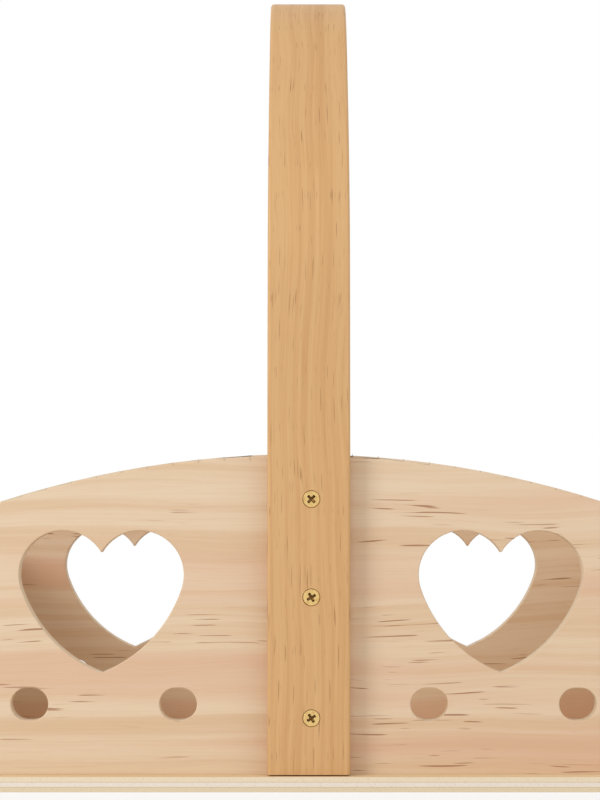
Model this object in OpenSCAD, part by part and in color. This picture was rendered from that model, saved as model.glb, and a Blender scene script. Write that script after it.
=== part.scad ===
// Garden trug: a plywood base, two arched pine sides with heart cut-outs, two end boards and a bentwood
// strap handle screwed to the outside of both sides.
// X runs along the tray, Y from the front side to the rear side, Z up from the surface it stands on.

/* [Tray] */
// Length of the tray, along its sides
tray_l = 320; // [290:1:400]
// Depth of the tray over the outer faces of its two sides
tray_w = 208; // [170:1:260]
// Thickness of the pine side and end boards
board_t = 9; // [8:0.5:12]
// Height of a side above the base, at its middle
side_h = 128; // [122:1:150]
// Radius of the arched top edge of a side
side_arc_r = 393; // [350:1:700]
// Radius to which the top edges of the boards are sanded
board_round = 1; // [0.5:0.1:2]

/* [Base] */
// Thickness of the plywood base
base_t = 6; // [4:0.5:12]
// How far the base stands out past each side, under the foot of the handle
base_lip = 11; // [8:0.5:20]
// Radius of the base's corners
base_corner_r = 3; // [1:0.5:8]

/* [Hearts] */
// Distance between the middles of the two hearts in a side
heart_pitch = 160; // [150:1:180]
// Height of a heart's tip above the base
heart_tip_h = 40.5; // [38:0.5:42]
// Width of a heart
heart_w = 66; // [60:0.5:68]
// Height of a heart, from its tip to the top of its lobes
heart_h = 57; // [52:0.5:58]
// Radius of the two round lobes
heart_lobe_r = 17.7; // [17:0.1:20]
// Radius of the long curves from the lobes to the tip
heart_side_r = 55.5; // [50:0.5:90]

/* [Oval holes] */
// Width of an oval hole
oval_w = 15; // [13:0.5:18]
// Height of an oval hole
oval_h = 13; // [8:0.5:13]
// Height of the row's centre line above the base
oval_row_h = 28; // [24:0.5:30]
// Distance between the two holes under one heart
oval_pitch = 59.5; // [50:0.5:66]
// How far the row of holes lies to the right of the hearts' middle
oval_shift = 1; // [0:0.5:2]

/* [Handle] */
// Width of the strap along its legs
handle_w = 33; // [28:0.5:38]
// Width of the strap at the top of the arch
handle_top_w = 32; // [26:0.5:38]
// Thickness of the strap
handle_t = 8; // [6:0.5:8]
// Radius of the strap's sanded long edges
handle_round = 1.3; // [0.5:0.1:2]
// Height of the handle's top above the middle of the sides
handle_rise = 199.5; // [190:0.5:240]
// How far the handle is fixed to the right of the tray's middle
handle_shift = 3; // [0:0.5:6]
// Gap between the foot of the strap and the base
foot_gap = 0.5; // [0.2:0.1:1]
// Angle by which the legs splay outwards above the sides
splay_turn = 4; // [2:0.5:6]
// Radius of the bend where a leg begins to splay
splay_r = 250; // [150:5:320]
// Radius of the shoulder bend
shoulder_r = 100; // [80:1:125]
// Angle to the upright at which the shoulder ends
shoulder_turn = 35; // [30:1:40]
// Radius of the long, nearly straight haunch above the shoulder
haunch_r = 350; // [250:5:400]
// Angle to the upright at which the haunch ends and the crown begins
haunch_turn = 45; // [40:1:50]

/* [Handle screws] */
// Diameter of the shank
screw_d = 3.5; // [3:0.1:4]
// Diameter of the countersunk head
screw_head_d = 7; // [6:0.1:8]
// How deep a screw goes into the side
screw_bite = 7.5; // [5:0.5:7.5]
// Height of the lowest screw above the base
screw_low_h = 23; // [16:1:30]
// Height of the middle screw above the base
screw_mid_h = 71; // [50:1:85]
// Height of the highest screw above the base
screw_high_h = 110; // [100:1:114]
// How far the row of screws lies to the right of the strap's middle
screw_shift = 1; // [0:0.5:3]

/* [Base screws] */
// Diameter of the shank
base_screw_d = 3; // [2.5:0.1:3.5]
// Diameter of the countersunk head
base_screw_head_d = 6; // [5:0.1:7]
// How deep a screw goes into the board above the base
base_screw_bite = 14; // [10:0.5:16]
// Distance of a side's outer two screws from the tray's ends
side_screw_inset = 30; // [25:1:45]
// Distance of an end's two screws from the tray's sides
end_screw_inset = 49; // [39:1:64]

/* [Corner pins] */
// Diameter of a pin's shank
pin_d = 1.4; // [1:0.1:2]
// Diameter of a pin's head
pin_head_d = 2.4; // [2.2:0.1:3.5]
// Thickness of a pin's head
pin_head_t = 0.6; // [0.4:0.1:1]
// How deep a pin goes into the end board
pin_bite = 16; // [10:1:22]
// Height of the lower pin above the base
pin_low_h = 22; // [18:1:30]
// Height of the upper pin above the base
pin_high_h = 66; // [50:1:70]

/* [Hidden] */
// Radial room between a fastener and the hole it sits in
fit = 0.05;
// Depth that a fastener's head is set below the wood
head_sink = 0.2;
// Straight rim above the cone of a countersunk head
head_rim = 0.3;
// Overshoot of a cutting tool past the face it leaves
cut = 1;
// Width, length and depth of one slot of a cross recess, as shares of the head's diameter
recess_share = [0.13, 0.52, 0.22];
// Length of a screw's or pin's point, as a multiple of its diameter
point_share = 0.9;
// Depth of the fine step where a lobe's curve starts, just inside the end of the side curve
lobe_step = 0.02;
// Turn between two neighbouring sections of the strap, in degrees
bend_step = 3;
// Steps in each rounded corner of the strap's section
corner_steps = 3;
// Fineness of the circles, and of the sides' long arch
$fn = 96;
arch_fn = 360;

side_y = tray_w / 2;
handle_y = side_y + handle_t;
end_x = tray_l / 2 - board_t / 2;
// Height of a side at its two ends, where the arch meets the end boards
end_h = side_h - side_arc_r + sqrt(side_arc_r * side_arc_r - tray_l * tray_l / 4);

side_names = ["front", "rear"];
side_signs = [-1, 1];
end_names = ["left", "right"];
end_signs = [-1, 1];
level_names = ["lower", "middle", "upper"];
screw_levels = [screw_low_h, screw_mid_h, screw_high_h];
pin_levels = [pin_low_h, pin_high_h];

// Each handle screw: its name, the side of the tray it is on and its height above the base
handle_screws = [
    for (s = [0, 1])
        for (k = [0:2])
            [str(side_names[s], "_handle_screw_", level_names[k]), side_signs[s], screw_levels[k]]
];

// Each base screw: its name and the point of the base it goes up through
base_screws = concat(
    [
        for (s = [0, 1])
            for (k = [0:2])
                [str(side_names[s], "_side_base_screw_", k + 1),
                 [(k - 1) * (tray_l / 2 - side_screw_inset), side_signs[s] * (side_y - board_t / 2)]]
    ],
    [
        for (e = [0, 1])
            for (k = [0, 1])
                [str(end_names[e], "_end_base_screw_", k + 1),
                 [end_signs[e] * end_x, side_signs[k] * (side_y - end_screw_inset)]]
    ]
);

// Each corner pin: its name, the side and end it joins and its height above the base
corner_pins = [
    for (s = [0, 1])
        for (e = [0, 1])
            for (k = [0, 1])
                [str(side_names[s], "_", end_names[e], "_corner_pin_", k + 1),
                 side_signs[s], end_signs[e], pin_levels[k]]
];

// Heart outline

// Centre of one lobe, with the tip at the origin
lobe_at = [heart_w / 2 - heart_lobe_r, heart_h - heart_lobe_r];

// Centre of the side curve: a circle through the tip that holds the lobe's circle inside it, touching
function side_curve_centre() =
    let (
        reach = norm(lobe_at),
        gap = heart_side_r - heart_lobe_r,
        along = (heart_side_r * heart_side_r - gap * gap + reach * reach) / (2 * reach),
        across = sqrt(heart_side_r * heart_side_r - along * along),
        towards = lobe_at / reach
    )
    along * towards + across * [-towards[1], towards[0]];

// Height, over x, of the line from the side curve's centre through the lobe's centre to the touching point
function joint_line_y(x) =
    let (c = side_curve_centre())
    lobe_at[1] + (x - lobe_at[0]) * (lobe_at[1] - c[1]) / (lobe_at[0] - c[0]);

// Right half of a heart: the long curve below the joint line, the lobe above it
module half_heart() {
    intersection() {
        translate(side_curve_centre()) circle(r = heart_side_r);
        polygon([[0, 0], [heart_w, 0], [heart_w, joint_line_y(heart_w)], [0, joint_line_y(0)]]);
    }
    intersection() {
        translate(lobe_at) circle(r = heart_lobe_r - lobe_step);
        polygon([[0, joint_line_y(0)], [heart_w, joint_line_y(heart_w)], [heart_w, heart_h], [0, heart_h]]);
    }
}

module heart() {
    half_heart();
    mirror([1, 0]) half_heart();
}

// Oval hole: two half circles joined by a straight stretch
module oval() {
    straight = oval_w - oval_h;
    for (s = [-1, 1]) {
        translate([s * straight / 2, 0]) circle(d = oval_h);
    }
    square([straight, oval_h], center = true);
}

// Fasteners, each along Z with its head's face at the origin and its point down

module countersunk_screw(d, head_d, length) {
    cone = (head_d - d) / 2;
    point = point_share * d;
    difference() {
        rotate_extrude()
            polygon([
                [0, 0],
                [head_d / 2, 0],
                [head_d / 2, -head_rim],
                [d / 2, -head_rim - cone],
                [d / 2, point - length],
                [0, -length]
            ]);
        for (turn = [0, 90]) {
            rotate([0, 0, turn + 45])
                translate([-recess_share[1] / 2, -recess_share[0] / 2, -recess_share[2]] * head_d)
                    cube([recess_share[1], recess_share[0], 2 * recess_share[2]] * head_d);
        }
    }
}

// The hole that such a screw sits in, with the countersink for its head
module countersunk_hole(d, head_d, length) {
    cone = (head_d - d) / 2;
    rotate_extrude()
        polygon([
            [0, cut],
            [head_d / 2 + fit, cut],
            [head_d / 2 + fit, -head_rim],
            [d / 2 + fit, -head_rim - cone],
            [d / 2 + fit, -length - fit],
            [0, -length - fit]
        ]);
}

module pin(length) {
    point = point_share * pin_d;
    rotate_extrude()
        polygon([
            [0, 0],
            [pin_head_d / 2, 0],
            [pin_head_d / 2, -pin_head_t],
            [pin_d / 2, -pin_head_t],
            [pin_d / 2, point - length],
            [0, -length]
        ]);
}

module pin_hole(length) {
    rotate_extrude()
        polygon([
            [0, cut],
            [pin_head_d / 2 + fit, cut],
            [pin_head_d / 2 + fit, -pin_head_t - fit],
            [pin_d / 2 + fit, -pin_head_t - fit],
            [pin_d / 2 + fit, -length - fit],
            [0, -length - fit]
        ]);
}

// Places of the fasteners: each lays its children's Z axis along the fastener, pointing out of the wood

module at_handle_screw(screw) {
    translate([handle_shift + screw_shift, screw[1] * (handle_y - head_sink), base_t + screw[2]])
        rotate([-90 * screw[1], 0, 0]) children();
}

module at_base_screw(screw) {
    translate([screw[1][0], screw[1][1], head_sink]) rotate([180, 0, 0]) children();
}

module at_corner_pin(pin_spot) {
    translate([pin_spot[2] * end_x, pin_spot[1] * (side_y - head_sink), base_t + pin_spot[3]])
        rotate([-90 * pin_spot[1], 0, 0]) children();
}

screw_length = handle_t - head_sink + screw_bite;
base_screw_length = base_t - head_sink + base_screw_bite;
pin_length = board_t - head_sink + pin_bite;

// Every hole that the fasteners need, to be taken from the boards and the strap
module handle_screw_holes() {
    for (screw = handle_screws) {
        at_handle_screw(screw) countersunk_hole(screw_d, screw_head_d, screw_length);
    }
}

module base_screw_holes() {
    for (screw = base_screws) {
        at_base_screw(screw) countersunk_hole(base_screw_d, base_screw_head_d, base_screw_length);
    }
}

module corner_pin_holes() {
    for (spot = corner_pins) {
        at_corner_pin(spot) pin_hole(pin_length);
    }
}

// Boards

module rounded_plate(size, r) {
    for (sx = [-1, 1]) {
        for (sy = [-1, 1]) {
            translate([sx * (size[0] / 2 - r), sy * (size[1] / 2 - r)]) circle(r = r);
        }
    }
    square([size[0] - 2 * r, size[1]], center = true);
    square([size[0], size[1] - 2 * r], center = true);
}

module base_board() {
    color("blanchedalmond")
        difference() {
            linear_extrude(base_t) rounded_plate([tray_l, tray_w + 2 * base_lip], base_corner_r);
            base_screw_holes();
        }
}

// Section of a board of the given height: both edges at the top are sanded round
module board_section(height) {
    r = board_round;
    square([height - r, board_t]);
    translate([0, r]) square([height, board_t - 2 * r]);
    for (y = [r, board_t - r]) {
        translate([height - r, y]) circle(r = r);
    }
}

// Side seen from outside: the board's rectangle under a disc whose rim gives the arch its sanded edge
module side_blank() {
    intersection() {
        translate([-tray_l / 2, 0, 0]) cube([tray_l, side_h + cut, board_t]);
        translate([0, side_h - side_arc_r, 0]) rotate_extrude($fn = arch_fn) board_section(side_arc_r);
    }
}

module side_cutouts() {
    for (s = [-1, 1]) {
        translate([s * heart_pitch / 2, heart_tip_h]) heart();
        for (k = [-1, 1]) {
            translate([oval_shift + s * heart_pitch / 2 + k * oval_pitch / 2, oval_row_h]) oval();
        }
    }
}

module front_board() {
    difference() {
        translate([0, board_t - side_y, base_t])
            rotate([90, 0, 0])
                difference() {
                    side_blank();
                    translate([0, 0, -cut]) linear_extrude(board_t + 2 * cut) side_cutouts();
                }
        handle_screw_holes();
        base_screw_holes();
        corner_pin_holes();
    }
}

module front_side() {
    color("burlywood") front_board();
}

module rear_side() {
    color("burlywood") mirror([0, 1, 0]) front_board();
}

// End board, held between the two sides, as high as they are at their ends
module end_board(sign) {
    color("burlywood")
        difference() {
            translate([sign * end_x - board_t / 2, side_y - board_t, base_t])
                rotate([90, 0, 0])
                    linear_extrude(tray_w - 2 * board_t)
                        translate([board_t, 0]) rotate([0, 0, 90]) board_section(end_h);
            base_screw_holes();
            corner_pin_holes();
        }
}

module left_end() {
    end_board(-1);
}

module right_end() {
    end_board(1);
}

// Handle

// The strap's outer face, seen along X, runs straight up to the top of the side and then through four bends.
// What the bends take inwards and upwards leaves the length of the straight splay and the crown's radius,
// which close the arch over the tray's middle at the wanted rise.
bends_in = shoulder_r * (cos(splay_turn) - cos(shoulder_turn)) + haunch_r * (cos(shoulder_turn) - cos(haunch_turn));
bends_up = splay_r * sin(splay_turn)
    + shoulder_r * (sin(shoulder_turn) + sin(splay_turn))
    + haunch_r * (sin(haunch_turn) - sin(shoulder_turn));
crown_reach = handle_y + splay_r * (1 - cos(splay_turn)) - bends_in;
crown_slope = (1 - sin(haunch_turn)) / cos(haunch_turn);
splay_run = (handle_rise - bends_up - crown_slope * crown_reach) / (cos(splay_turn) + crown_slope * sin(splay_turn));
crown_r = (crown_reach + splay_run * sin(splay_turn)) / cos(haunch_turn);

// The strap's runs from its foot to the top: a length and no turn, or a radius of the outer face and a turn,
// which is negative where the strap bends outwards
strap_runs = [
    [side_h - foot_gap, 0],
    [splay_r, -splay_turn],
    [splay_run, 0],
    [shoulder_r, splay_turn + shoulder_turn],
    [haunch_r, haunch_turn - shoulder_turn],
    [crown_r, 90 - haunch_turn]
];

// Places along one run that starts at a place: each is [distance from the mid-plane, height, heading],
// and the heading is the angle by which the strap leans inwards
function places_along(run, start) =
    run[1] == 0
        ? [[start[0] - run[0] * sin(start[2]), start[1] + run[0] * cos(start[2]), start[2]]]
        : let (steps = ceil(abs(run[1]) / bend_step), r = sign(run[1]) * run[0])
          [
              for (i = [1:steps])
                  let (lean = start[2] + run[1] * i / steps)
                  [start[0] - r * (cos(start[2]) - cos(lean)), start[1] + r * (sin(lean) - sin(start[2])), lean]
          ];

// Places along all runs, each run starting where the one before it ends
function places(runs, start, i = 0) =
    i == len(runs)
        ? []
        : let (here = places_along(runs[i], start))
          concat(here, places(runs, here[len(here) - 1], i + 1));

// One leg's places from foot to top, and then the whole strap's: down the other leg again
foot = [handle_y, base_t + foot_gap, 0];
leg_places = concat([foot], places(strap_runs, foot));
strap_places = concat(
    [for (p = leg_places) [-p[0], p[1], -cos(p[2]), sin(p[2])]],
    [for (i = [len(leg_places) - 2:-1:0]) let (p = leg_places[i]) [p[0], p[1], cos(p[2]), sin(p[2])]]
);

// Section of the strap, as points [across, inwards] from the middle of its outer face, with rounded corners
strap_section = [
    for (corner = [[1, -1, 0], [1, 1, 90], [-1, 1, 180], [-1, -1, 270]])
        for (i = [0:corner_steps])
            let (a = corner[2] - 90 + 90 * i / corner_steps)
            [
                corner[0] * (handle_w / 2 - handle_round) + handle_round * cos(a),
                handle_t / 2 + corner[1] * (handle_t / 2 - handle_round) + handle_round * sin(a)
            ]
];

// Share of the leg's width that the strap keeps at a height: it narrows evenly from the sides to the top
function width_share(z) = 1 + (handle_top_w / handle_w - 1) * max(0, (z - base_t - side_h) / handle_rise);

// The section carried along the places, closed by a face at each foot
module strap() {
    n = len(strap_section);
    last = (len(strap_places) - 1) * n;
    polyhedron(
        points = [
            for (p = strap_places)
                for (q = strap_section)
                    [handle_shift + q[0] * width_share(p[1]), p[0] - q[1] * p[2], p[1] - q[1] * p[3]]
        ],
        faces = concat(
            [[for (k = [0:n - 1]) k]],
            [
                for (j = [0:n:last - n])
                    for (k = [0:n - 1])
                        [j + k, j + n + k, j + n + (k + 1) % n, j + (k + 1) % n]
            ],
            [[for (k = [n - 1:-1:0]) last + k]]
        )
    );
}

module handle() {
    color("tan")
        difference() {
            strap();
            handle_screw_holes();
        }
}

// Fastener nodes

module handle_screw(screw) {
    color("gold") at_handle_screw(screw) countersunk_screw(screw_d, screw_head_d, screw_length);
}

module base_screw(screw) {
    color("gold") at_base_screw(screw) countersunk_screw(base_screw_d, base_screw_head_d, base_screw_length);
}

module corner_pin(spot) {
    color("silver") at_corner_pin(spot) pin(pin_length);
}

base_board();
front_side();
rear_side();
left_end();
right_end();
handle();
for (screw = handle_screws) {
    handle_screw(screw);
}
for (screw = base_screws) {
    base_screw(screw);
}
for (spot = corner_pins) {
    corner_pin(spot);
}
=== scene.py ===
"""A garden trug in pine and plywood, with heart cut-outs and a bent strap handle, in a plain soft studio.

Lengths are in millimetres, in the frame's axes, until to_metres turns them into what the scene uses.
"""

import logging
import math
from dataclasses import dataclass, field
from enum import Enum

import bmesh
import bpy
import numpy as np
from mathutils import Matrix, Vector


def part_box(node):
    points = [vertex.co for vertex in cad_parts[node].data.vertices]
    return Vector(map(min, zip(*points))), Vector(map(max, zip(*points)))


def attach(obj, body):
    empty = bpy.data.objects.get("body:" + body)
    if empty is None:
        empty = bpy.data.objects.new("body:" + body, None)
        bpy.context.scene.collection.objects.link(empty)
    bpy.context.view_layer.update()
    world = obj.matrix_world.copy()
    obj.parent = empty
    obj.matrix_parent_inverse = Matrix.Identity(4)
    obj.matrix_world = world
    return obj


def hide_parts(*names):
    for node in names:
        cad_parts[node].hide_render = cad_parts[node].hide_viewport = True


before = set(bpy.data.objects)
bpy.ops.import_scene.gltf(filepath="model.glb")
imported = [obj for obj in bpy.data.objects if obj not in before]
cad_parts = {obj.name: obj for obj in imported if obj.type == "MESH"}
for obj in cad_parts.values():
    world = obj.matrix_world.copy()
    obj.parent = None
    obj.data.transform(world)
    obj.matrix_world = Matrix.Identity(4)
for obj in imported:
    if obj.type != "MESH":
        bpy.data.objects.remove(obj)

LOG = logging.getLogger("trug")
MM = 0.001
WHITE = (1.0, 1.0, 1.0, 1.0)


class Grain(Enum):
    """Which coordinates run along, through and across the grain, as places in a vector."""

    ALONG_SIDE = (0, 1, 2)
    ALONG_END = (1, 0, 2)
    ALONG_BASE = (0, 2, 1)
    ALONG_STRAP = (1, 2, 0)


def to_metres(points: np.ndarray) -> np.ndarray:
    """Turn an array of millimetres into metres."""
    return np.asarray(points, dtype=float) * MM


def srgb(hex_code: str) -> tuple[float, float, float, float]:
    """Turn an sRGB hex colour into the linear colour that a shader takes.

    Args:
        hex_code: six hex digits, such as "DEC2A0".

    Returns:
        Linear red, green and blue, and full alpha.
    """
    parts = [int(hex_code[i:i + 2], 16) / 255 for i in (0, 2, 4)]
    linear = [c / 12.92 if c <= 0.04045 else ((c + 0.055) / 1.055) ** 2.4 for c in parts]
    return (linear[0], linear[1], linear[2], 1.0)


def add(tree: bpy.types.NodeTree, kind: str, inputs: dict | None = None,
        **settings: object) -> bpy.types.Node:
    """Add a node, set it up and link it.

    Args:
        tree: the node tree.
        kind: the node's type name.
        inputs: a value or an output socket for each input, by name or place.
        settings: the node's own properties.

    Returns:
        The new node.
    """
    node = tree.nodes.new(kind)
    for name, value in settings.items():
        setattr(node, name, value)
    for name, value in (inputs or {}).items():
        if isinstance(value, bpy.types.NodeSocket):
            tree.links.new(value, node.inputs[name])
        else:
            node.inputs[name].default_value = value
    return node


@dataclass(frozen=True)
class Pattern:
    """A natural pattern, drawn as stretched noise.

    size_mm is the length of its features along, through and across the grain. It fades in between the two
    values of shows, up to strength, and detail is how many octaves of finer noise it has.
    """

    size_mm: tuple[float, float, float]
    detail: float = 3.0
    shows: tuple[float, float] = (0.0, 1.0)
    strength: float = 1.0


@dataclass
class Shading:
    """One material's tree, with the few means that every finish here is drawn with.

    octave_share is how strong each finer octave of noise is beside the one before. The grain wanders by
    up to wander_mm, and facing is how square a face must stand to count as broad.
    """

    name: str
    material: bpy.types.Material = field(init=False)
    tree: bpy.types.NodeTree = field(init=False)
    octave_share: float = 0.55
    wander: Pattern = Pattern((95, 80, 45), detail=1.0)
    wander_mm: float = 10.0
    facing: tuple[float, float] = (0.35, 0.85)
    ior: float = 1.5

    def __post_init__(self) -> None:
        """Start the material with an empty tree."""
        self.material = bpy.data.materials.new(self.name)
        self.material.use_nodes = True
        self.tree = self.material.node_tree
        self.tree.nodes.clear()

    def math(self, operation: str, a: object, b: object = 0.0) -> bpy.types.NodeSocket:
        """Combine two numbers or sockets by one operation."""
        return add(self.tree, "ShaderNodeMath", {0: a, 1: b}, operation=operation).outputs[0]

    def times(self, a: object, b: object) -> bpy.types.NodeSocket:
        """Multiply two numbers or sockets."""
        return self.math("MULTIPLY", a, b)

    def ramp(self, value: object, start: float, end: float) -> bpy.types.NodeSocket:
        """Fade smoothly from 0 to 1.

        Args:
            value: a number or socket.
            start: where the fade starts.
            end: where it ends; a start above the end makes it fall instead.

        Returns:
            A socket from 0 to 1.
        """
        falls = start > end
        inputs = {"Value": value, "From Min": min(start, end), "From Max": max(start, end),
                  "To Min": float(falls), "To Max": float(not falls)}
        return add(self.tree, "ShaderNodeMapRange", inputs, interpolation_type="SMOOTHSTEP").outputs[0]

    def mix(self, factor: object, a: object, b: object) -> bpy.types.NodeSocket:
        """Blend from colour a to colour b."""
        # A mix node's colours are its inputs 6 and 7 and its output 2
        return add(self.tree, "ShaderNodeMix", {0: factor, 6: a, 7: b}, data_type="RGBA").outputs[2]

    def object_mm(self) -> bpy.types.NodeSocket:
        """Give the place on the piece in millimetres."""
        inputs = {0: add(self.tree, "ShaderNodeTexCoord").outputs["Object"], "Scale": 1 / MM}
        return add(self.tree, "ShaderNodeVectorMath", inputs, operation="SCALE").outputs[0]

    def noise(self, place: object, pattern: Pattern) -> bpy.types.NodeSocket:
        """Draw a pattern's bare noise.

        Args:
            place: a vector socket in millimetres.
            pattern: what is drawn.

        Returns:
            A socket from 0 to 1.
        """
        scaled = add(self.tree, "ShaderNodeVectorMath", {0: place, 1: pattern.size_mm}, operation="DIVIDE")
        inputs = {"Vector": scaled.outputs[0], "Scale": 1.0, "Detail": pattern.detail,
                  "Roughness": self.octave_share}
        return add(self.tree, "ShaderNodeTexNoise", inputs).outputs[0]

    def shown(self, noise: object, pattern: Pattern) -> bpy.types.NodeSocket:
        """Fade a pattern's noise in, up to its strength."""
        return self.times(self.ramp(noise, *pattern.shows), pattern.strength)

    def drawn(self, place: object, pattern: Pattern) -> bpy.types.NodeSocket:
        """Draw a pattern and fade it in."""
        return self.shown(self.noise(place, pattern), pattern)

    def grain_mm(self, grain: Grain) -> bpy.types.NodeSocket:
        """Give the place as [along, through, across] the grain.

        Args:
            grain: how the grain lies in the piece.

        Returns:
            A vector socket in millimetres, with a slow wander across the grain.
        """
        if grain is Grain.ALONG_STRAP:
            source = add(self.tree, "ShaderNodeAttribute", attribute_name="strap_mm").outputs["Vector"]
        else:
            source = self.object_mm()
        split = add(self.tree, "ShaderNodeSeparateXYZ", {0: source}).outputs
        along, through, across = (split[i] for i in grain.value)
        plain = add(self.tree, "ShaderNodeCombineXYZ", {0: along, 1: through, 2: across}).outputs[0]
        drift = self.math("SUBTRACT", self.noise(plain, self.wander), 0.5)
        shifted = self.math("ADD", across, self.times(drift, self.wander_mm))
        return add(self.tree, "ShaderNodeCombineXYZ", {0: along, 1: through, 2: shifted}).outputs[0]

    def flatness(self, axis: int) -> bpy.types.NodeSocket:
        """Tell a piece's broad faces from its edges.

        Args:
            axis: the axis that the broad faces look along.

        Returns:
            A socket that is 1 on the broad faces and 0 on what is square to them.
        """
        normal = add(self.tree, "ShaderNodeTexCoord").outputs["Normal"]
        part = add(self.tree, "ShaderNodeSeparateXYZ", {0: normal}).outputs[axis]
        return self.ramp(self.math("ABSOLUTE", part), *self.facing)

    def roughened(self, pattern: object, least: float, spread: float) -> bpy.types.NodeSocket:
        """Raise a least roughness by a pattern, up to its spread."""
        return self.math("ADD", self.times(pattern, spread), least)

    def finish(self, colour: object, roughness: object, bump: object = None, depth_mm: float = 0.0,
               metallic: float = 0.0) -> bpy.types.Material:
        """Close the tree with its shader.

        Args:
            colour: base colour, as a value or socket.
            roughness: roughness, as a value or socket.
            bump: height from 0 to 1, or None for a smooth surface.
            depth_mm: what a height of 1 stands for.
            metallic: 1 for a metal.

        Returns:
            The finished material.
        """
        inputs = {"Base Color": colour, "Roughness": roughness, "Metallic": metallic, "IOR": self.ior}
        if bump is not None:
            relief = {"Height": bump, "Distance": depth_mm * MM, "Strength": 1.0}
            inputs["Normal"] = add(self.tree, "ShaderNodeBump", relief).outputs[0]
        shader = add(self.tree, "ShaderNodeBsdfPrincipled", inputs)
        add(self.tree, "ShaderNodeOutputMaterial", {"Surface": shader.outputs[0]})
        return self.material


@dataclass(frozen=True)
class SandedPine:
    """Pine sawn flat and belt sanded, left bare.

    The eye sees a matt pale board: soft bands of late wood, pink heartwood, short brown resin flecks and
    fibres that all run one way, with a paler rim where a cut edge was sanded. Growth rings lie about 6 mm
    apart on a flat-sawn face, and a fleck is about 20 mm long and under 1 mm high. Real fibres are too fine
    to show, so they are drawn half a millimetre wide.
    """

    name: str
    grain: Grain
    face_axis: int
    pale: str = "E0C8AA"
    late_wood: str = "D2AD86"
    blush: str = "D6AA8B"
    fleck: str = "9C6844"
    cut_edge: str = "DCC6A6"
    rings: Pattern = Pattern((420, 40, 6.5), detail=3.0, shows=(0.40, 0.66), strength=0.62)
    heartwood: Pattern = Pattern((600, 90, 24), detail=1.0, shows=(0.52, 0.66), strength=0.6)
    fibres: Pattern = Pattern((26, 3, 0.55), detail=3.0, shows=(0.45, 0.75), strength=0.30)
    flecks: Pattern = Pattern((19, 6, 0.8), detail=0.0, shows=(0.705, 0.775), strength=0.85)
    fleck_patches: Pattern = Pattern((85, 40, 16), detail=1.0, shows=(0.52, 0.60))
    edge_strength: float = 0.8
    least_roughness: float = 0.56
    roughness_spread: float = 0.14
    fibre_depth_mm: float = 0.05

    def make(self) -> bpy.types.Material:
        """Draw the board's rings, heartwood, fibres, flecks and sanded edges.

        Returns:
            The pine.
        """
        draw = Shading(self.name)
        place = draw.grain_mm(self.grain)
        colour = draw.mix(draw.drawn(place, self.rings), srgb(self.pale), srgb(self.late_wood))
        colour = draw.mix(draw.drawn(place, self.heartwood), colour, srgb(self.blush))
        fibre = draw.noise(place, self.fibres)
        colour = draw.mix(draw.shown(fibre, self.fibres), colour, srgb(self.late_wood))
        fleck = draw.times(draw.drawn(place, self.flecks), draw.drawn(place, self.fleck_patches))
        colour = draw.mix(fleck, colour, srgb(self.fleck))
        edge = draw.math("SUBTRACT", 1.0, draw.flatness(self.face_axis))
        colour = draw.mix(draw.times(edge, self.edge_strength), colour, srgb(self.cut_edge))
        rough = draw.roughened(fibre, self.least_roughness, self.roughness_spread)
        return draw.finish(colour, rough, draw.math("SUBTRACT", fibre, fleck), self.fibre_depth_mm)


@dataclass(frozen=True)
class BentStrapWood:
    """Ash steamed, bent, planed and sanded.

    The eye sees a warm tan, deeper than the pine, with fine lines and short open pores that follow the
    strap round its bends. Its rings lie about 3 mm apart. Real fibres and pores are too fine to show, so
    they are drawn half a millimetre wide.
    """

    name: str = "steam_bent_ash_sanded"
    pale: str = "D4A872"
    line: str = "BE8A52"
    pore: str = "8F5C30"
    rings: Pattern = Pattern((520, 20, 3.4), detail=3.0, shows=(0.40, 0.64), strength=0.5)
    fibres: Pattern = Pattern((30, 3, 0.45), detail=3.0, shows=(0.45, 0.72), strength=0.35)
    pores: Pattern = Pattern((14, 4, 0.5), detail=0.0, shows=(0.71, 0.78))
    pore_strength: float = 0.55
    least_roughness: float = 0.46
    roughness_spread: float = 0.16
    fibre_depth_mm: float = 0.05

    def make(self) -> bpy.types.Material:
        """Draw lines and pores that follow the strap round its bends.

        Returns:
            The ash.
        """
        draw = Shading(self.name)
        place = draw.grain_mm(Grain.ALONG_STRAP)
        colour = draw.mix(draw.drawn(place, self.rings), srgb(self.pale), srgb(self.line))
        fibre = draw.noise(place, self.fibres)
        colour = draw.mix(draw.shown(fibre, self.fibres), colour, srgb(self.line))
        pore = draw.drawn(place, self.pores)
        colour = draw.mix(draw.times(pore, self.pore_strength), colour, srgb(self.pore))
        rough = draw.roughened(fibre, self.least_roughness, self.roughness_spread)
        return draw.finish(colour, rough, draw.math("SUBTRACT", fibre, pore), self.fibre_depth_mm)


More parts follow.
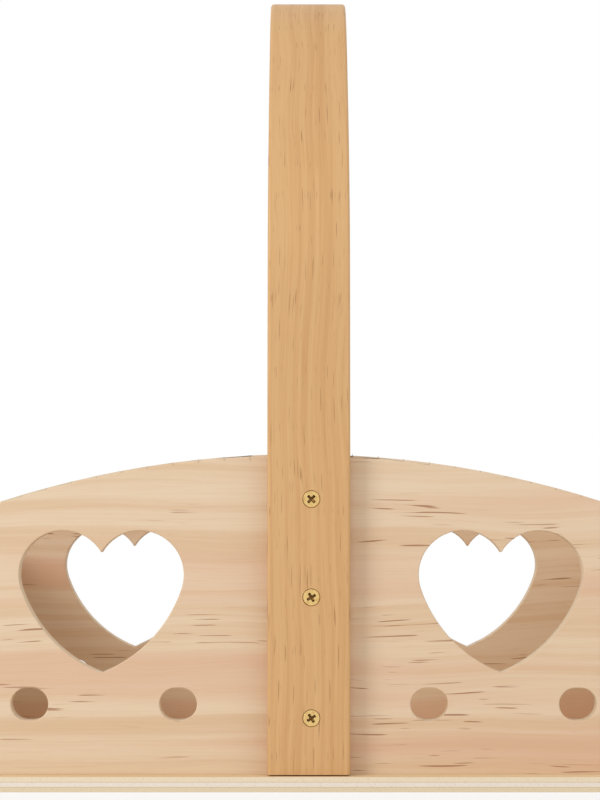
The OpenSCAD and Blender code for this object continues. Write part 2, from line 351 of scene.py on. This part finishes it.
@dataclass(frozen=True)
class ThreePly:
    """Plywood of three rotary-cut veneers, 2 mm each, cut by a circular saw.

    The eye sees a plain warm veneer on both faces, and at the edge three pale layers with thin glue lines
    and the saw's rough marks. Fibres and saw marks are drawn coarser than real ones, so that they show.
    """

    name: str = "three_ply_sawn"
    veneer: str = "E6CCA4"
    figure_tone: str = "D7B486"
    face_axis: int = 2
    layers: tuple[str, str, str] = ("DCCBAD", "E6DCCF", "E6D6BA")
    glue: str = "B79A72"
    ply_mm: float = 2.0
    ply_blur_mm: float = 0.08
    glue_line_mm: tuple[float, float] = (0.22, 0.05)
    glue_strength: float = 0.5
    figure: Pattern = Pattern((300, 40, 13), detail=4.0, shows=(0.42, 0.64), strength=0.6)
    saw_marks: Pattern = Pattern((0.9, 0.9, 0.5), detail=3.0, shows=(0.5, 0.8), strength=0.35)
    fibres: Pattern = Pattern((26, 3, 0.6))
    least_roughness: float = 0.55
    roughness_spread: float = 0.15
    fibre_depth_mm: float = 0.05

    def edge(self, draw: Shading) -> bpy.types.NodeSocket:
        """Draw the sawn edge by height.

        Args:
            draw: the material's tree.

        Returns:
            The edge's colour.
        """
        height = add(draw.tree, "ShaderNodeSeparateXYZ", {0: draw.object_mm()}).outputs["Z"]
        joints = [level * self.ply_mm for level in range(1, len(self.layers))]
        colour = srgb(self.layers[0])
        for joint, layer in zip(joints, self.layers[1:]):
            above = draw.ramp(height, joint - self.ply_blur_mm, joint + self.ply_blur_mm)
            colour = draw.mix(above, colour, srgb(layer))
        for joint in joints:
            off = draw.math("ABSOLUTE", draw.math("SUBTRACT", height, joint))
            line = draw.times(draw.ramp(off, *self.glue_line_mm), self.glue_strength)
            colour = draw.mix(line, colour, srgb(self.glue))
        return draw.mix(draw.drawn(draw.object_mm(), self.saw_marks), colour, srgb(self.glue))

    def make(self) -> bpy.types.Material:
        """Draw the veneer by the grain and the edge by height.

        Returns:
            The plywood.
        """
        draw = Shading(self.name)
        place = draw.grain_mm(Grain.ALONG_BASE)
        face = draw.mix(draw.drawn(place, self.figure), srgb(self.veneer), srgb(self.figure_tone))
        colour = draw.mix(draw.flatness(self.face_axis), self.edge(draw), face)
        fibre = draw.noise(place, self.fibres)
        rough = draw.roughened(fibre, self.least_roughness, self.roughness_spread)
        return draw.finish(colour, rough, fibre, self.fibre_depth_mm)


@dataclass(frozen=True)
class YellowZinc:
    """Steel screws, zinc plated and passivated yellow.

    The eye sees a pale brassy gloss with a slight cloudiness, and painted shade, dark brown, down in the
    recess.
    """

    name: str = "yellow_zinc_plated_steel"
    bright: str = "E6C482"
    worn: str = "B5863F"
    painted_shade_tone: str = "5E3A14"
    clouds: Pattern = Pattern((1.6, 1.6, 1.6), detail=3.0, shows=(0.42, 0.7))
    cloud_strength: float = 0.45
    painted_shade_depths: tuple[float, float] = (0.05, 0.5)
    painted_shade_strength: float = 0.9
    least_roughness: float = 0.3
    roughness_spread: float = 0.15

    def make(self) -> bpy.types.Material:
        """Draw the plating's clouds, and painted shade by how deep the recess is.

        Returns:
            The plated steel.
        """
        draw = Shading(self.name)
        cloud = draw.drawn(draw.object_mm(), self.clouds)
        colour = draw.mix(draw.times(cloud, self.cloud_strength), srgb(self.bright), srgb(self.worn))
        # Painted shade: the colour turns dark brown the deeper the cross recess sinks
        depth = add(draw.tree, "ShaderNodeAttribute", attribute_name="recess").outputs["Fac"]
        painted_recess_shade = draw.times(draw.ramp(depth, *self.painted_shade_depths), self.painted_shade_strength)
        colour = draw.mix(painted_recess_shade, colour, srgb(self.painted_shade_tone))
        rough = draw.roughened(cloud, self.least_roughness, self.roughness_spread)
        return draw.finish(colour, rough, metallic=1.0)


@dataclass(frozen=True)
class DrawnWire:
    """Plain steel pins cut from drawn wire: the eye sees a dull grey sheen, faintly tarnished."""

    name: str = "drawn_steel_wire"
    bright: str = "B8B8B4"
    dull: str = "8D8C88"
    tarnish: Pattern = Pattern((0.8, 0.8, 0.8))
    roughness: float = 0.38

    def make(self) -> bpy.types.Material:
        """Draw the steel with its tarnish.

        Returns:
            The bare steel.
        """
        draw = Shading(self.name)
        tarnish = draw.noise(draw.object_mm(), self.tarnish)
        colour = draw.mix(tarnish, srgb(self.bright), srgb(self.dull))
        return draw.finish(colour, self.roughness, metallic=1.0)


def piece_from_mesh(name: str, mesh: bpy.types.Mesh, material: bpy.types.Material,
                    node: str) -> bpy.types.Object:
    """Put a mesh into the scene as the piece that stands for one node.

    Args:
        name: the piece's name.
        mesh: its mesh, in metres, in the frame.
        material: its finish.
        node: the node it stands for.

    Returns:
        The new object.
    """
    mesh.materials.clear()
    mesh.materials.append(material)
    piece = bpy.data.objects.new(name, mesh)
    bpy.context.scene.collection.objects.link(piece)
    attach(piece, "root")
    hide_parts(node)
    LOG.info("%s stands for %s", name, node)
    return piece


def shade_up_to(mesh: bpy.types.Mesh, degrees: float) -> None:
    """Shade a mesh smoothly, apart from edges that turn by more than an angle."""
    mesh.shade_smooth()
    mesh.set_sharp_from_angle(angle=math.radians(degrees))


def keep_faces_flat(piece: bpy.types.Object) -> None:
    """Let a piece's large faces set the shading along their edges, so that none looks dented."""
    normals = piece.modifiers.new("flat_faces_lead", "WEIGHTED_NORMAL")
    normals.keep_sharp = True


@dataclass(frozen=True)
class SourceMesh:
    """A node's own mesh, made ready for modifiers: its loose triangles joined, and flat faces made one."""

    node: str
    same_point_mm: float = 0.03
    flat_within: float = 0.4
    smooth_up_to: float = 35.0

    def copy(self, name: str) -> bpy.types.Mesh:
        """Copy the node's mesh.

        Args:
            name: the copy's name.

        Returns:
            A closed mesh.
        """
        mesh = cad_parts[self.node].data.copy()
        mesh.name = name
        work = bmesh.new()
        work.from_mesh(mesh)
        bmesh.ops.remove_doubles(work, verts=work.verts, dist=self.same_point_mm * MM)
        flat = math.radians(self.flat_within)
        bmesh.ops.dissolve_limit(work, angle_limit=flat, verts=work.verts, edges=work.edges)
        work.to_mesh(mesh)
        work.free()
        shade_up_to(mesh, self.smooth_up_to)
        return mesh


@dataclass
class Tray:
    """The pine boards and the plywood base.

    Every pine edge that turns by more than eased_from degrees is rounded by sanding, edge_ease wide.
    """

    edge_ease: float = 0.35
    eased_from: float = 60.0
    ease_segments: int = 2
    sides: tuple[str, str] = ("front_side", "rear_side")
    ends: tuple[str, str] = ("left_end", "right_end")

    def board(self, node: str, material: bpy.types.Material) -> None:
        """Make one board from its node, with eased edges.

        Args:
            node: the board's node.
            material: its pine.
        """
        name = node + "_board"
        self.ease(piece_from_mesh(name, SourceMesh(node).copy(name), material, node))

    def ease(self, piece: bpy.types.Object) -> None:
        """Round a piece's sharp edges by the sanded width.

        Args:
            piece: the board.
        """
        bevel = piece.modifiers.new("sanded_edges", "BEVEL")
        bevel.width = self.edge_ease * MM
        bevel.segments = self.ease_segments
        bevel.limit_method = "ANGLE"
        bevel.angle_limit = math.radians(self.eased_from)
        bevel.use_clamp_overlap = False
        keep_faces_flat(piece)

    def build(self) -> None:
        """Make the two sides, the two ends and the base."""
        side_pine = SandedPine("pine_side_sanded", Grain.ALONG_SIDE, face_axis=1).make()
        end_pine = SandedPine("pine_end_sanded", Grain.ALONG_END, face_axis=0).make()
        for node in self.sides:
            self.board(node, side_pine)
        for node in self.ends:
            self.board(node, end_pine)
        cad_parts["base_board"].material_slots[0].material = ThreePly().make()
        LOG.info("base_board wears its plywood")


@dataclass
class Strap:
    """The bent handle, whose grain follows the outer line of its two legs, bends and crown.

    foot is the outer face's distance from the middle plane and its height. A turn is the lean from the
    upright, in degrees, at the end of its bend: outwards for the splay, inwards for the other bends. The
    splay's run and the crown's radius are those at which part.scad's arch closes.
    """

    foot: tuple[float, float] = (112.0, 6.5)
    leg: float = 127.5
    splay_r: float = 250.0
    splay_turn: float = 4.0
    splay_run: float = 46.745
    shoulder_r: float = 100.0
    shoulder_turn: float = 35.0
    haunch_r: float = 350.0
    haunch_turn: float = 45.0
    crown_r: float = 83.17
    bend_step: float = 1.0
    fewest_points: int = 3

    def bend(self, start: np.ndarray, radius: float, first: float, last: float) -> np.ndarray:
        """Trace one bend.

        The line goes inwards by the radius times the fall of the lean's cosine, and upwards by the radius
        times the rise of its sine.

        Args:
            start: where the bend begins, as [distance from the middle plane, height].
            radius: its radius, which is negative where the strap bends outwards.
            first: the lean at its beginning.
            last: the lean at its end.

        Returns:
            Its points after the start.
        """
        count = max(self.fewest_points, int(abs(last - first) / self.bend_step))
        lean = np.radians(np.linspace(first, last, count)[1:])
        begin = math.radians(first)
        inwards = radius * (math.cos(begin) - np.cos(lean))
        upwards = radius * (np.sin(lean) - math.sin(begin))
        return np.stack([start[0] - inwards, start[1] + upwards], axis=1)

    def leg_line(self) -> np.ndarray:
        """Trace one leg's outer face from its foot to the middle of the crown.

        Each straight run and bend starts where the one before it ends, with the lean that it ended with.

        Returns:
            Points [distance from the middle plane, height].
        """
        foot = np.array(self.foot)
        top = foot + [0.0, self.leg]
        splay = self.bend(top, -self.splay_r, 0.0, -self.splay_turn)
        lean = math.radians(self.splay_turn)
        run_end = splay[-1] + self.splay_run * np.array([math.sin(lean), math.cos(lean)])
        shoulder = self.bend(run_end, self.shoulder_r, -self.splay_turn, self.shoulder_turn)
        haunch = self.bend(shoulder[-1], self.haunch_r, self.shoulder_turn, self.haunch_turn)
        crown = self.bend(haunch[-1], self.crown_r, self.haunch_turn, 90.0)
        return np.concatenate([[foot, top], splay, [run_end], shoulder, haunch, crown])

    def line(self) -> np.ndarray:
        """Trace the whole strap, up the front leg and down the rear one, as [y, z]."""
        leg = self.leg_line()
        return np.concatenate([leg * [-1, 1], leg[-2::-1]])

    def strap_mm(self, mesh: bpy.types.Mesh) -> np.ndarray:
        """Work out [across, along, through] for every vertex of the strap.

        Each vertex is dropped square on to its nearest stretch of the line; along is the line's length up to
        there, and through is the distance from it.

        Args:
            mesh: the strap's mesh, in metres.

        Returns:
            One row for each vertex, in millimetres.
        """
        flat = np.empty(len(mesh.vertices) * 3)
        mesh.vertices.foreach_get("co", flat)
        place = flat.reshape(-1, 3) / MM
        line = self.line()
        span = np.diff(line, axis=0)
        length = np.linalg.norm(span, axis=1)
        before = np.concatenate([[0.0], np.cumsum(length)[:-1]])
        offset = place[:, None, 1:] - line[None, :-1]
        share = np.clip((offset * span).sum(axis=2) / length ** 2, 0, 1)
        distance = np.linalg.norm(offset - share[..., None] * span, axis=2)
        nearest = distance.argmin(axis=1)
        rows = np.arange(len(place))
        along = before[nearest] + share[rows, nearest] * length[nearest]
        return np.stack([place[:, 0], along, distance[rows, nearest]], axis=1)

    def build(self) -> None:
        """Make the strap from its node and lay the grain along it."""
        mesh = SourceMesh("handle").copy("handle_strap")
        grain = mesh.attributes.new("strap_mm", "FLOAT_VECTOR", "POINT")
        grain.data.foreach_set("vector", self.strap_mm(mesh).ravel())
        piece = piece_from_mesh("handle_strap", mesh, BentStrapWood().make(), "handle")
        keep_faces_flat(piece)


@dataclass
class WoodScrew:
    """A countersunk cross-recess screw, turned as one lathe surface with a thread along its shank.

    The rim rounds off over rim_r, the cone starts rim_h below the face, and what lies less than level_h
    down belongs to the face. Between its ridges the thread is cut down to thread_core of the shank's
    radius. Each arm of the cross reaches recess_reach of the head's width out from the middle; recess_wall
    and recess_end are how wide its slopes are, and recess_rise is how much shallower it is at its end.
    """

    head_d: float
    shank_d: float
    length: float
    turn: float
    rim_r: float = 0.18
    rim_h: float = 0.35
    rim_taper: float = 0.02
    rim_from_degrees: float = 15.0
    level_h: float = 0.01
    thread_start: float = 0.2
    thread_pitch: float = 1.35
    thread_core: float = 0.72
    thread_sharpness: float = 1.5
    point_h: float = 2.6
    point_from: float = 0.15
    tip_h: float = 0.1
    tip_r: float = 0.02
    recess_depth: float = 1.7
    recess_half_width: float = 0.42
    recess_reach: float = 0.29
    recess_wall: float = 0.16
    recess_end: float = 0.3
    recess_rise: float = 0.45
    face_rings: int = 22
    rim_rings: int = 6
    shank_rings: int = 56
    point_rings: int = 8
    sides: int = 72
    centre_r: float = 0.06
    smooth_up_to: float = 40.0

    def cone_end(self) -> float:
        """Give the depth at which the head's cone meets the shank."""
        return self.rim_h + (self.head_d - self.shank_d) / 2

    def profile(self) -> tuple[np.ndarray, np.ndarray]:
        """Trace the screw's outline: flat head, rounded rim, cone, shank and point.

        The rim is an arc of radius rim_r, and the rest is straight from one end to the other.

        Returns:
            The radius and the depth below the head's face of each ring.
        """
        flat_r, shank_r = self.head_d / 2 - self.rim_r, self.shank_d / 2
        bend = np.radians(np.linspace(self.rim_from_degrees, 90, self.rim_rings))
        shank_end = self.length - self.point_h
        point = np.linspace(self.point_from, 1.0, self.point_rings)
        radius = [np.linspace(self.centre_r, flat_r, self.face_rings),
                  flat_r + self.rim_r * np.sin(bend),
                  [self.head_d / 2 - self.rim_taper, shank_r],
                  np.full(self.shank_rings, shank_r),
                  shank_r * (1 - point) + self.tip_r]
        depth = [np.zeros(self.face_rings),
                 self.rim_r * (1 - np.cos(bend)),
                 [self.rim_h, self.cone_end()],
                 np.linspace(self.cone_end() + self.thread_start, shank_end, self.shank_rings),
                 shank_end + (self.point_h - self.tip_h) * point]
        return np.concatenate(radius), np.concatenate(depth)

    def ring_radii(self, radius: np.ndarray, depth: np.ndarray, angle: np.ndarray) -> np.ndarray:
        """Cut the thread into the shank's rings.

        On the shank the radius rises and falls as a triangle wave of the turn plus the depth over the pitch.

        Args:
            radius: each ring's radius.
            depth: each ring's depth.
            angle: the angles round the screw.

        Returns:
            The radius at each ring and angle.
        """
        wave = (angle[None] / (2 * np.pi) + depth[:, None] / self.thread_pitch) % 1.0
        ridge = (1 - np.abs(2 * wave - 1)) ** self.thread_sharpness
        threaded = radius[:, None] * (self.thread_core + (1 - self.thread_core) * ridge)
        on_shank = (depth > self.cone_end() + self.thread_start / 2)[:, None]
        return np.where(on_shank, threaded, radius[:, None] * np.ones_like(wave))

    def recess(self, x: np.ndarray, y: np.ndarray) -> np.ndarray:
        """Work out how deep the cross sinks at each place of the head's face.

        An arm is a band round an axis of the cross, with steep sides and ends, and the cross is the larger of
        its two arms, deepest at the middle.

        Args:
            x: places along the head.
            y: places across the head.

        Returns:
            The depth, in millimetres.
        """
        turn = math.radians(self.turn)
        along = np.abs(x * math.cos(turn) + y * math.sin(turn))
        aside = np.abs(y * math.cos(turn) - x * math.sin(turn))
        reach = self.recess_reach * self.head_d
        band = [np.clip((self.recess_half_width - w) / self.recess_wall + 0.5, 0, 1) for w in (along, aside)]
        stop = [np.clip((reach - w) / self.recess_end, 0, 1) for w in (along, aside)]
        cross = np.maximum(band[1] * stop[0], band[0] * stop[1])
        return cross * self.recess_depth * (1 - self.recess_rise * np.hypot(x, y) / reach)

    def surface(self) -> tuple[np.ndarray, list[list[int]], np.ndarray]:
        """Work out the screw about its own Z axis, with the head's face at the origin.

        Each point of the outline is carried round the axis, and what lies level sinks by the recess.

        Returns:
            Vertices in millimetres, faces, and how deep each vertex lies in the recess, from 0 to 1.
        """
        radius, depth = self.profile()
        angle = np.linspace(0, 2 * np.pi, self.sides, endpoint=False)
        ring = self.ring_radii(radius, depth, angle)
        x, y = ring * np.cos(angle), ring * np.sin(angle)
        sink = np.where(depth[:, None] < self.level_h, self.recess(x, y), 0.0)
        z = -depth[:, None] - np.maximum(sink, 0)
        grid = np.stack([x, y, z], axis=2).reshape(-1, 3)
        ends = np.array([[0, 0, z[0].mean()], [0, 0, -self.length]])
        deep = np.concatenate([np.ravel(sink) / self.recess_depth, [1.0, 0.0]])
        return np.concatenate([grid, ends]), self.faces(len(radius)), deep

    def faces(self, rings: int) -> list[list[int]]:
        """Join neighbouring rings by quads, and the first and last ring to a point.

        Args:
            rings: how many rings there are.

        Returns:
            The faces, which all look outwards.
        """
        index = np.arange(rings * self.sides).reshape(rings, self.sides)
        after = np.roll(index, -1, axis=1)
        quads = np.stack([index[:-1], index[1:], after[1:], after[:-1]], axis=2).reshape(-1, 4)
        top, tip = rings * self.sides, rings * self.sides + 1
        cap = np.stack([np.full(self.sides, top), index[0], after[0]], axis=1)
        end = np.stack([np.full(self.sides, tip), after[-1], index[-1]], axis=1)
        return quads.tolist() + cap.tolist() + end.tolist()

    def place(self, node: str, out: np.ndarray, at: np.ndarray, material: bpy.types.Material) -> None:
        """Set the screw into the wood where its node is.

        Args:
            node: the screw's node.
            out: the direction that the head faces, along Y or Z.
            at: the middle of the head's face.
            material: its plating.
        """
        points, faces, deep = self.surface()
        across = np.array([1.0, 0.0, 0.0])
        turned = points @ np.stack([across, np.cross(out, across), out])
        name = node + "_turned"
        mesh = bpy.data.meshes.new(name)
        mesh.from_pydata(to_metres(turned + at).tolist(), [], faces)
        shade_up_to(mesh, self.smooth_up_to)
        mesh.attributes.new("recess", "FLOAT", "POINT").data.foreach_set("value", deep)
        piece_from_mesh(name, mesh, material, node)


@dataclass
class Fasteners:
    """Every screw and pin: six screws hold the strap, ten the base, and pins hold the corners.

    head_room is how much narrower a turned head is than its node's, so that a fine gap shows round it. The
    crosses are turned by degrees that differ from screw to screw, as a driver leaves them.
    """

    handle_turns: tuple[float, float, float] = (33.0, 30.0, 45.0)
    handle_shank_d: float = 3.5
    base_shank_d: float = 3.0
    base_first_turn: float = 17.0
    base_turn_step: float = 23.0
    head_room: float = 0.36

    def screw(self, node: str, axis: int, sign: int, shank_d: float, turn: float,
              material: bpy.types.Material) -> None:
        """Make the screw that fills a node's box along one axis.

        Args:
            node: the screw's node.
            axis: the axis it runs along.
            sign: which way its head faces along that axis.
            shank_d: its thread's outer diameter.
            turn: the turn of its cross.
            material: its plating.
        """
        low, high = (np.array(corner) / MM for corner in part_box(node))
        at = (low + high) / 2
        at[axis] = high[axis] if sign > 0 else low[axis]
        size = high - low
        head_d = size[(axis + 1) % 3] - self.head_room
        WoodScrew(head_d, shank_d, size[axis], turn).place(node, np.eye(3)[axis] * sign, at, material)

    def build(self) -> None:
        """Turn every screw and dress the pins."""
        zinc = YellowZinc().make()
        for sign, side in ((-1, "front"), (1, "rear")):
            for level, turn in zip(("lower", "middle", "upper"), self.handle_turns):
                node = f"{side}_handle_screw_{level}"
                self.screw(node, axis=1, sign=sign, shank_d=self.handle_shank_d, turn=turn, material=zinc)
        under = sorted(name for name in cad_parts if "base_screw" in name)
        for k, node in enumerate(under):
            turn = self.base_first_turn + self.base_turn_step * k
            self.screw(node, axis=2, sign=-1, shank_d=self.base_shank_d, turn=turn, material=zinc)
        steel = DrawnWire().make()
        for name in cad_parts:
            if "corner_pin" in name:
                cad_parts[name].material_slots[0].material = steel
        LOG.info("pins wear drawn steel")


@dataclass(frozen=True)
class Lamp:
    """One soft square lamp that faces the basket."""

    name: str
    at: tuple[float, float, float]
    width: float
    power_w: float
    aim: tuple[float, float, float] = (0.0, 0.0, 130.0)

    def hang(self) -> None:
        """Hang the lamp in its place."""
        data = bpy.data.lights.new(self.name, "AREA")
        data.size = self.width * MM
        data.energy = self.power_w
        lamp = bpy.data.objects.new(self.name, data)
        lamp.location = to_metres(self.at)
        towards = Vector(to_metres(self.aim)) - lamp.location
        lamp.rotation_euler = towards.to_track_quat("-Z", "Y").to_euler()
        bpy.context.scene.collection.objects.link(lamp)


@dataclass
class Studio:
    """The camera, the pale floor and the soft lights.

    The camera sees the paper turn to white: white_near is the white's share under the basket, and it is
    all white from the second distance of white_from on.
    """

    picture_w: int = 600
    focal_px: float = 2500.0
    horizon_below_middle_px: float = 115.0
    sensor_mm: float = 36.0
    camera_at: tuple[float, float, float] = (-0.5, -1104.0, 109.7)
    clip_end_m: float = 20.0
    world_level: float = 0.62
    floor_half: float = 1500.0
    floor_drop: float = 0.05
    paper_tone: str = "F4F3F1"
    white_near: float = 0.7
    white_from: tuple[float, float] = (180.0, 520.0)
    lamps: tuple[Lamp, Lamp] = (
        Lamp("key_left", at=(-1350, -1200, 950), width=700, power_w=16.0),
        Lamp("fill_right", at=(1200, -1000, 900), width=1200, power_w=5.0),
    )

    def camera(self) -> None:
        """Look straight along +Y, with the frame shifted up so that uprights stay upright."""
        data = bpy.data.cameras.new("front_camera")
        data.sensor_fit = "HORIZONTAL"
        data.sensor_width = self.sensor_mm
        data.lens = self.focal_px / self.picture_w * self.sensor_mm
        data.shift_y = self.horizon_below_middle_px / self.picture_w
        data.clip_end = self.clip_end_m
        camera = bpy.data.objects.new("front_camera", data)
        camera.location = to_metres(self.camera_at)
        camera.rotation_euler = (math.pi / 2, 0, 0)
        bpy.context.scene.collection.objects.link(camera)
        bpy.context.scene.camera = camera

    def world(self) -> None:
        """Light everything evenly, and show white wherever a ray reaches the background."""
        world = bpy.data.worlds.new("studio")
        world.use_nodes = True
        tree = world.node_tree
        tree.nodes.clear()
        path = add(tree, "ShaderNodeLightPath").outputs
        seen = path["Is Camera Ray"]
        for ray in ("Is Glossy Ray", "Is Transmission Ray"):
            seen = add(tree, "ShaderNodeMath", {0: seen, 1: path[ray]}, operation="MAXIMUM").outputs[0]
        soft = add(tree, "ShaderNodeBackground", {"Color": WHITE, "Strength": self.world_level}).outputs[0]
        white = add(tree, "ShaderNodeBackground", {"Color": WHITE, "Strength": 1.0}).outputs[0]
        both = add(tree, "ShaderNodeMixShader", {0: seen, 1: soft, 2: white}).outputs[0]
        add(tree, "ShaderNodeOutputWorld", {"Surface": both})
        bpy.context.scene.world = world

    def paper(self) -> bpy.types.Material:
        """Draw matt pale paper, which the camera sees turn to white away from the basket.

        Returns:
            The paper.
        """
        draw = Shading("pale_studio_paper")
        matt = add(draw.tree, "ShaderNodeBsdfDiffuse", {"Color": srgb(self.paper_tone)}).outputs[0]
        white = add(draw.tree, "ShaderNodeEmission", {"Color": WHITE, "Strength": 1.0}).outputs[0]
        reach = add(draw.tree, "ShaderNodeVectorMath", {0: draw.object_mm()}, operation="LENGTH")
        away = draw.times(draw.ramp(reach.outputs["Value"], *self.white_from), 1 - self.white_near)
        path = add(draw.tree, "ShaderNodeLightPath").outputs
        seen = draw.math("MAXIMUM", path["Is Camera Ray"], path["Is Glossy Ray"])
        share = draw.times(seen, draw.math("ADD", away, self.white_near))
        both = add(draw.tree, "ShaderNodeMixShader", {0: share, 1: matt, 2: white}).outputs[0]
        add(draw.tree, "ShaderNodeOutputMaterial", {"Surface": both})
        return draw.material

    def floor(self) -> None:
        """Lay the paper just under the basket."""
        corners = np.array([[-1, -1, 0], [1, -1, 0], [1, 1, 0], [-1, 1, 0]]) * self.floor_half
        mesh = bpy.data.meshes.new("studio_floor")
        mesh.from_pydata(to_metres(corners - [0, 0, self.floor_drop]).tolist(), [], [(0, 1, 2, 3)])
        mesh.materials.append(self.paper())
        floor = bpy.data.objects.new("studio_floor", mesh)
        bpy.context.scene.collection.objects.link(floor)

    def build(self) -> None:
        """Set up the camera, the lights and the floor."""
        self.camera()
        self.world()
        self.floor()
        for lamp in self.lamps:
            lamp.hang()
        bpy.context.scene.view_settings.view_transform = "Standard"
        LOG.info("studio is set")


def main() -> None:
    """Build the studio, then the basket from its tray to its smallest pin."""
    logging.basicConfig(level=logging.INFO, format="%(message)s")
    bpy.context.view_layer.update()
    Studio().build()
    Tray().build()
    Strap().build()
    Fasteners().build()
    bpy.context.view_layer.update()


if __name__ == "__main__":
    main()
